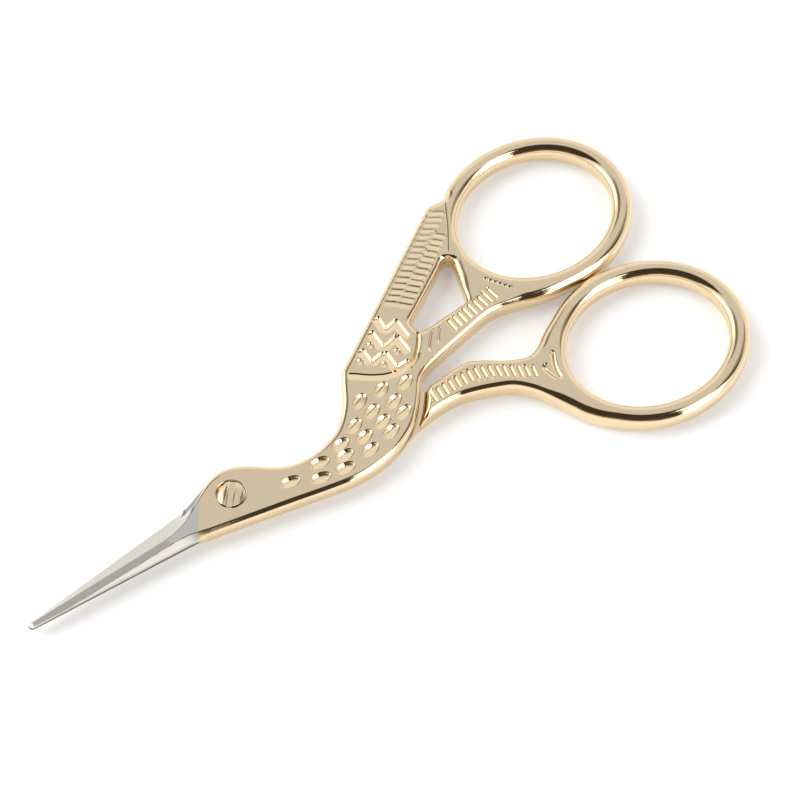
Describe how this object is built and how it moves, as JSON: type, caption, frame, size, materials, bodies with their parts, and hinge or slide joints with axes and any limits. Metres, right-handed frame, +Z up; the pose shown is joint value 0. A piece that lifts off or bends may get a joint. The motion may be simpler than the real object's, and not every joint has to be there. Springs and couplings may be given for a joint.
{
  "type": "embroidery scissors",
  "caption": "Stork-shaped embroidery scissors: crossing gold-plated forged halves on a slotted pivot screw, with slim pointed steel blades and oval finger rings.",
  "frame": {"origin": "on the pivot axis, in the plane of the flat underside that the closed scissors rest on", "axes": "+X runs from the pivot to the finger rings and -X to the blade tips, +Y to the ring of the stork half, +Z up out of the decorated face along the pivot axis"},
  "size_m": [0.0944, 0.0457, 0.0032],
  "materials": {
    "gold_plate": "polished gold-coloured plating over forged steel, with the blades ground back to bare steel",
    "screw_gold": "polished gold-coloured plating over a turned steel screw"
  },
  "bodies": {
    "leg_side": {"leg_half": "gold_plate", "pivot_screw": "screw_gold"},
    "stork_side": {"stork_half": "gold_plate"}
  },
  "joints": [
    {"name": "pivot", "type": "hinge", "parent": "leg_side", "child": "stork_side", "pos_m": [0, 0, 0.0015], "axis": [0, 0, 1], "range_deg": [0, 110]}
  ]
}
